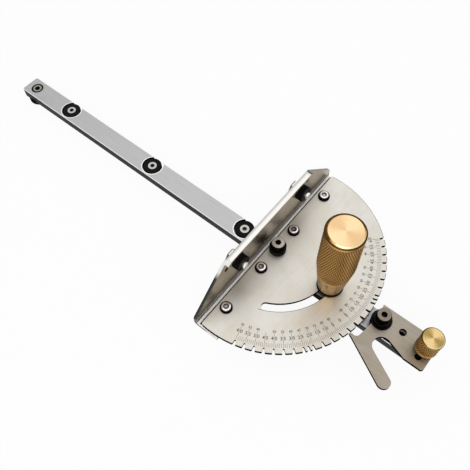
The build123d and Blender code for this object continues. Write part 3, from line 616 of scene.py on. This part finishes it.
def cap_screw_finish(name, centre, lit_top_tones):
    """Black oxide steel, with the top of the head painted grey round the dark socket as a highlight."""
    socket_radius = 0.0024
    material, tree = start_finish(name)
    film, black, gloss = varied(tree, 0.0012, 0.0012, "Z", ("#131212", "#201F1E"), (0.3, 0.42))
    end_tones = add(tree, "ShaderNodeValToRGB", {0: film}, stops=[(0.3, lit_top_tones[0]), (0.7, lit_top_tones[1])])
    on_top = add(tree, "ShaderNodeMath", {0: facing(tree, "Z"), 1: 0.9}, operation="GREATER_THAN")
    outside = add(tree, "ShaderNodeMath", {0: from_axis(tree, centre), 1: socket_radius},
                  operation="GREATER_THAN")
    # The top round the socket is painted grey as a highlight
    on_lit_top = add(tree, "ShaderNodeMath", {0: on_top, 1: outside}, operation="MULTIPLY")
    shade = add(tree, "ShaderNodeMix", {0: on_lit_top, 6: black, 7: end_tones}, 2, data_type="RGBA")
    metal_surface(tree, shade, gloss)
    return material


dress("glide_washer", black_nylon)
dress("pivot_bush", black_oxide)
dress("pivot_screw", cap_screw_finish("black_cap_screw_head_pivot", (0, 0, 0), ("#B7B2AA", "#CAC5BD")))


# Fence bolts. Two zinc-plated hexagon bolts stand out of the web for a fence's T-slot. Each is drawn
# up by a round nut, blued black and knurled for the fingers, on a bright washer.

# Bright zinc plating: a silvery film, slightly mottled every 1 mm, with small soft highlights
bright_zinc, tree = start_finish("bright_zinc_plating")
mottle, zinc_shade, zinc_gloss = varied(tree, 0.001, 0.001, "Z", ("#BDBBB8", "#D6D4D1"), (0.2, 0.34))
metal_surface(tree, zinc_shade, zinc_gloss, mottle, 0.00001)

# Knurled black oxide: the crests are rubbed grey, the grooves stay black
knurled_black, tree = start_finish("knurled_black_oxide")
in_groove = add(tree, "ShaderNodeAttribute", out="Fac", attribute_name="groove")
highlight_and_wear = add(tree, "ShaderNodeValToRGB", {0: in_groove}, stops=[(0.0, "#2E2D2C"), (0.6, "#111010")])
metal_surface(tree, highlight_and_wear, 0.36)

# The same plating on the bolts, with a highlight painted near white on the point, and shade painted dark on
# the flats and the chamfer of the head
bolt_zinc, tree = start_finish("zinc_fence_bolt")
bolt_shade, bolt_gloss = varied(tree, 0.001, 0.001, "Z", ("#C6C4C1", "#DCDAD7"), (0.2, 0.34))[1:]
forward = place_along(tree, "Y")
nut_face, bolt_head, head_chamfer = 0.0031, 0.0125, 0.0163
on_point = add(tree, "ShaderNodeMath", {0: forward, 1: nut_face}, operation="LESS_THAN")
bolt_shade = add(tree, "ShaderNodeMix", {0: on_point, 6: bolt_shade, 7: "#FCFBFA"}, 2, data_type="RGBA")
on_chamfer = add(tree, "ShaderNodeMath", {0: forward, 1: head_chamfer}, operation="GREATER_THAN")
on_flat = add(tree, "ShaderNodeMath", {0: facing(tree, "X"), 1: 0.6}, operation="GREATER_THAN")
on_head = add(tree, "ShaderNodeMath", {0: forward, 1: bolt_head}, operation="GREATER_THAN")
on_flat = add(tree, "ShaderNodeMath", {0: on_flat, 1: on_head}, operation="MULTIPLY")
shaded_faces = add(tree, "ShaderNodeMath", {0: on_chamfer, 1: on_flat}, operation="MAXIMUM")
bolt_shade = add(tree, "ShaderNodeMix", {0: shaded_faces, 6: bolt_shade, 7: "#4B4947"}, 2, data_type="RGBA")
metal_surface(tree, bolt_shade, bolt_gloss)

bolt_x, bolt_level, bolt_radius, washer_back = 0.0403, 0.037, 0.0030, 0.0096
nut_radius, nut_height, nut_break, nut_rows, nut_depth = 0.0068, 0.0064, 0.0005, 10, 0.00035
nut = [(bolt_radius, 0.0), (nut_radius - nut_break, 0.0), (nut_radius, nut_break)]
for step in range(nut_rows + 1):
    level = nut_break + (nut_height - 2 * nut_break) * step / nut_rows
    nut.append((nut_radius, level, nut_depth if 0 < step < nut_rows else 0.0))
nut += [(nut_radius - nut_break, nut_height), (bolt_radius, nut_height), (bolt_radius, 0.0)]
for side, x in (("left", -bolt_x), ("right", bolt_x)):
    dress("fence_bolt_" + side, bolt_zinc)
    dress("fence_washer_" + side, bright_zinc)
    on_bolt = Matrix.Translation((x, washer_back, bolt_level)) @ Matrix.Rotation(math.radians(90), 4, "X")
    knob = turned("knurled_nut_" + side, nut, 60, knurled_black, on_bolt)
    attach(knob, "fence_nut_" + side)
    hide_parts("fence_knob_" + side)


# Clamp handle. A stud through the arc slot carries a nylon spacer, a black washer and the handle,
# which is turned from a brass bar, cross-knurled above a smooth cone and faced on top.

def brass_finish(name, centre, end_tones, knurl, smooth, edge):
    """Turned brass, with soft wedges of painted sheen on its end face, tarnish in the knurl, and painted
    light and shade at the edge.

    The tones of the end face and of the smooth band are each a dark and a light one, and knurl runs from
    crest to groove.
    Edge gives the radii where the chamfer and the rim's painted dark outline begin. One side of the chamfer
    is painted bright as lit and the other dark brown as shaded.
    """
    material, tree = start_finish(name)
    place = add(tree, "ShaderNodeTexCoord", out="Object")
    from_centre = add(tree, "ShaderNodeVectorMath", {0: place, 1: centre}, operation="SUBTRACT")
    forward = add(tree, "ShaderNodeSeparateXYZ", {0: from_centre}, "Y")
    sideways = add(tree, "ShaderNodeSeparateXYZ", {0: from_centre}, "X")
    angle = add(tree, "ShaderNodeMath", {0: forward, 1: sideways}, operation="ARCTAN2")
    # Soft wedges of sheen are painted on the end face, by angle round the axis
    doubled = add(tree, "ShaderNodeMath", {0: angle, 1: 2.0, 2: math.radians(12)}, operation="MULTIPLY_ADD")
    wedge = add(tree, "ShaderNodeMath", {0: doubled}, operation="COSINE")
    # The lathe's rings, 0.1 mm apart, are drawn 1,800 to the metre, so that they show
    rings_per_metre, bright_side = 1800.0, math.radians(58)
    radius = from_axis(tree, centre)
    far_out = add(tree, "ShaderNodeMath", {0: radius, 1: rings_per_metre}, operation="MULTIPLY")
    outward = add(tree, "ShaderNodeCombineXYZ", {"X": far_out})
    rings = add(tree, "ShaderNodeTexNoise", {"Vector": outward, "Scale": 1.0, "Detail": 2.0})
    sheen = add(tree, "ShaderNodeMath", {0: wedge, 1: 0.38, 2: rings}, operation="MULTIPLY_ADD")
    end_shade = add(tree, "ShaderNodeValToRGB", {0: sheen}, stops=[(0.15, end_tones[0]), (0.75, end_tones[1])])
    on_chamfer = add(tree, "ShaderNodeMath", {0: radius, 1: edge[0]}, operation="GREATER_THAN")
    # One side of the chamfer is painted bright as lit and the other dark brown as shaded, with an uneven
    # border
    around = add(tree, "ShaderNodeMath", {0: angle, 1: bright_side}, operation="SUBTRACT")
    lit_side = add(tree, "ShaderNodeMath", {0: around}, operation="COSINE")
    lit_side = add(tree, "ShaderNodeMapRange", {"Value": lit_side, "From Min": -1.0, "To Min": 0.0})
    edge_noise = grain(tree, 0.003, 0.003, "Z")
    edge_light = add(tree, "ShaderNodeMath", {0: edge_noise, 1: 0.3, 2: lit_side}, operation="MULTIPLY_ADD")
    edge_shade = add(tree, "ShaderNodeValToRGB", {0: edge_light},
                     stops=[(0.27, "#EBD3A1"), (0.60, "#5F4722"), (0.43, "#D3B07B")])
    end_shade = add(tree, "ShaderNodeMix", {0: on_chamfer, 6: end_shade, 7: edge_shade}, 2, data_type="RGBA")
    # The outermost edge of the rim is painted dark as shade
    rim_outline = add(tree, "ShaderNodeMath", {0: radius, 1: edge[1]}, operation="GREATER_THAN")
    end_shade = add(tree, "ShaderNodeMix", {0: rim_outline, 6: end_shade, 7: "#4A3216"}, 2, data_type="RGBA")
    in_groove = add(tree, "ShaderNodeAttribute", out="Fac", attribute_name="groove")
    side_shade = add(tree, "ShaderNodeValToRGB", {0: in_groove},
                     stops=[(0.0, knurl[0]), (1.0, knurl[2]), (0.6, knurl[1])])
    is_smooth = add(tree, "ShaderNodeAttribute", out="Fac", attribute_name="tint")
    streaks = grain(tree, 0.0025, 0.05, "Z")
    smooth_shade = add(tree, "ShaderNodeValToRGB", {0: streaks},
                       stops=[(0.35, smooth[0]), (0.65, smooth[1])])
    side_shade = add(tree, "ShaderNodeMix", {0: is_smooth, 6: side_shade, 7: smooth_shade}, 2,
                     data_type="RGBA")
    on_end = add(tree, "ShaderNodeMath", {0: facing(tree, "Z"), 1: 0.6}, operation="GREATER_THAN")
    shade = add(tree, "ShaderNodeMix", {0: on_end, 6: side_shade, 7: end_shade}, 2, data_type="RGBA")
    gloss = add(tree, "ShaderNodeMapRange", {"Value": rings, "To Min": 0.26, "To Max": 0.36})
    grooves = add(tree, "ShaderNodeTangent", direction_type="RADIAL", axis="Z")
    metal_surface(tree, shade, gloss, rings, 0.00001, spin=grooves)
    return material


handle_y = -0.0522
handle_brass = brass_finish("turned_brass_handle", (0, handle_y, 0), ("#D9B688", "#F0D0A2"),
                            ("#DFB577", "#BC9157", "#5C401F"), ("#A88856", "#D6B785"), (0.0125, 0.0136))
dress("clamp_spacer", black_nylon)
dress("handle_washer", black_oxide)
dress("handle_stud", bright_zinc)
base_level, knurl_start, shoulder_level, handle_top = 0.0087, 0.0315, 0.0460, 0.0925
base_radius, shoulder_radius, top_radius = 0.0102, 0.0152, 0.0148
chamfer_width, chamfer_height, bore_radius, bore_top, face_ring = 0.0024, 0.0016, 0.0031, 0.0487, 0.0060
rim_level = handle_top - chamfer_height


def handle_radius(level):
    """Radius of the handle's skin at a level: a cone up to the shoulder, then nearly straight."""
    if level < shoulder_level:
        share = (level - base_level) / (shoulder_level - base_level)
        return base_radius + (shoulder_radius - base_radius) * share
    share = (level - shoulder_level) / (rim_level - shoulder_level)
    return shoulder_radius + (top_radius - shoulder_radius) * share


barrel = [(0.0, bore_top), (bore_radius, bore_top), (bore_radius, base_level),
          (base_radius, base_level, 0, 0, 1.0)]
cone_start, cone_end, cone_rows = base_level + 0.0003, knurl_start - 0.0005, 4
for step in range(cone_rows + 1):
    level = cone_start + (cone_end - cone_start) * step / cone_rows
    barrel.append((handle_radius(level), level, 0, 0, 1.0))
knurl_end, knurl_rows, knurl_depth = rim_level - 0.0003, 24, 0.00045
for step in range(knurl_rows + 1):
    level = knurl_start + (knurl_end - knurl_start) * step / knurl_rows
    barrel.append((handle_radius(level), level, knurl_depth if 0 < step < knurl_rows else 0.0))
barrel += [(top_radius, rim_level), (top_radius - chamfer_width, handle_top), (face_ring, handle_top),
           (0.0, handle_top)]
handle = turned("knurled_handle", barrel, 104, handle_brass, Matrix.Translation((0, handle_y, 0)))
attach(handle, "handle")
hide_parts("handle_grip")


# Index lever. It is cut by laser from the same stainless sheet, with a tooth for the notches, a
# finger to pull and an arc slot for the thumb lock, and is brushed across.

dress("index_lever",
      brushed_sheet("brushed_stainless_lever", ("#9A9287", "#ABA498", "#F6F2EA"), "#060605", "Y", 0.36))


# Pivot of the lever. A flanged bush and a socket cap screw like those of the head, both black oxide
# steel, carry the lever on a black washer, and a turned nylon spacer lifts them off the bar.

dress("lever_spacer", black_nylon)
dress("lever_washer", black_oxide)
dress("lever_bush", black_oxide)
lever_pivot = (0, -0.1, 0)
dress("lever_pivot_screw",
      cap_screw_finish("black_cap_screw_lever_pivot", lever_pivot, ("#7D7268", "#8E8378")))


# Thumb lock. A brass knob, knurled above a smooth collar, screws down on a stud through the lever's
# slot, and a nylon block fills the gap between lever and bar.

thumb_y = -0.1375
thumb_brass = brass_finish("turned_brass_thumb_knob", (0, thumb_y, 0), ("#A68A50", "#E6C88E"),
                           ("#D5AB6B", "#AE864E", "#593E1C"), ("#8F6F3C", "#C09A5C"), (0.0077, 0.0082))
dress("thumb_spacer", black_nylon)
dress("thumb_washer", black_oxide)
dress("thumb_stud", bright_zinc)
thumb_base, thumb_top, thumb_radius, collar_radius = 0.0082, 0.0318, 0.0086, 0.0069
collar_top, under_break, top_break = thumb_base + 0.0030, 0.0005, 0.0010
thumb_bore_radius, thumb_bore_top, thumb_face_ring = 0.0026, 0.0247, 0.0035
grip = [(0.0, thumb_bore_top), (thumb_bore_radius, thumb_bore_top), (thumb_bore_radius, thumb_base),
        (collar_radius, thumb_base, 0, 0, 1.0), (collar_radius, collar_top, 0, 0, 1.0),
        (thumb_radius - under_break, collar_top, 0, 0, 1.0),
        (thumb_radius, collar_top + under_break, 0, 0, 1.0), (thumb_radius, collar_top + 0.0012, 0, 0, 0.6)]
grip_start, grip_end, grip_rows, grip_depth = collar_top + 0.0015, thumb_top - 0.0013, 10, 0.0004
for step in range(grip_rows + 1):
    level = grip_start + (grip_end - grip_start) * step / grip_rows
    grip.append((thumb_radius, level, grip_depth if 0 < step < grip_rows else 0.0))
grip += [(thumb_radius, thumb_top - top_break), (thumb_radius - top_break, thumb_top),
         (thumb_face_ring, thumb_top), (0.0, thumb_top)]
thumb_knob = turned("knurled_thumb_knob", grip, 60, thumb_brass, Matrix.Translation((0, thumb_y, 0)))
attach(thumb_knob, "thumb_lock")
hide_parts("thumb_knob")


# Studio. The gauge lies on a plain floor of pale paper under two soft lamps, and the camera stands
# where that of the photograph stood.

def background(tree, elsewhere, seen):
    """One value where the camera, a reflection or glass looks at the background, another elsewhere."""
    camera_ray = add(tree, "ShaderNodeLightPath", out="Is Camera Ray")
    glossy_ray = add(tree, "ShaderNodeLightPath", out="Is Glossy Ray")
    glass_ray = add(tree, "ShaderNodeLightPath", out="Is Transmission Ray")
    looks = add(tree, "ShaderNodeMath", {0: camera_ray, 1: glossy_ray}, operation="ADD")
    looks = add(tree, "ShaderNodeMath", {0: looks, 1: glass_ray}, operation="ADD", use_clamp=True)
    return add(tree, "ShaderNodeMapRange", {"Value": looks, "To Min": elsewhere, "To Max": seen})


floor_finish, tree = start_finish("pale_studio_floor")
paper = grain(tree, 0.02, 0.02, "Z")
paper_shade = add(tree, "ShaderNodeValToRGB", {0: paper}, stops=[(0.3, "#F1F1F1"), (0.7, "#F4F4F4")])
matt = add(tree, "ShaderNodeBsdfDiffuse", {"Color": paper_shade})
white = add(tree, "ShaderNodeEmission", {"Color": "#FFFFFF", "Strength": 1.0})
both = add(tree, "ShaderNodeMixShader", {0: background(tree, 0.0, 0.92), 1: matt, 2: white})
add(tree, "ShaderNodeOutputMaterial", {"Surface": both})
half, floor_level = 4.0, cad_box[0][2] - 0.0002
floor_mesh = bpy.data.meshes.new("floor")
floor_corners = [(x * half, y * half, floor_level) for x, y in ((-1, -1), (1, -1), (1, 1), (-1, 1))]
floor_mesh.from_pydata(floor_corners, [], [(0, 1, 2, 3)])
floor_mesh.materials.append(floor_finish)
floor = put_in_scene("floor", floor_mesh)

world = bpy.data.worlds.new("studio")
world.use_nodes = True
world.node_tree.nodes.clear()
sky = add(world.node_tree, "ShaderNodeBackground",
          {"Color": "#FFFFFF", "Strength": background(world.node_tree, 0.75, 1.0)})
add(world.node_tree, "ShaderNodeOutputWorld", {"Surface": sky})
bpy.context.scene.world = world

for name, place, size, power in (("key_softbox", (0.4, 0.45, 1.25), 1.1, 1.5),
                                 ("fill_softbox", (-0.9, -0.5, 1.2), 0.9, 5.0)):
    lamp = bpy.data.lights.new(name, "AREA")
    lamp.size, lamp.energy = size, power
    aim = (-Vector(place)).to_track_quat("-Z", "Y").to_matrix().to_4x4()
    put_in_scene(name, lamp).matrix_world = Matrix.Translation(place) @ aim

# Fitted to the photograph: a lens of 44 mm on a frame of 36 mm, half a metre from the gauge, tilted
# about X, rolled about Y and turned about Z, in degrees
camera_place, camera_turn = (-0.195279, -0.121085, 0.426221), (29.9597, 0.8532, -50.9410)
frame_width, photo_pixels, focal_pixels = 36.0, 470, 576.0
lens = bpy.data.cameras.new("camera")
lens.sensor_width = frame_width
lens.lens = focal_pixels / photo_pixels * frame_width
lens.clip_start = 0.01
camera = put_in_scene("camera", lens)
turned_up = Euler([math.radians(angle) for angle in camera_turn]).to_matrix().to_4x4()
camera.matrix_world = Matrix.Translation(camera_place) @ turned_up
bpy.context.scene.camera = camera
bpy.context.scene.view_settings.view_transform = "Standard"
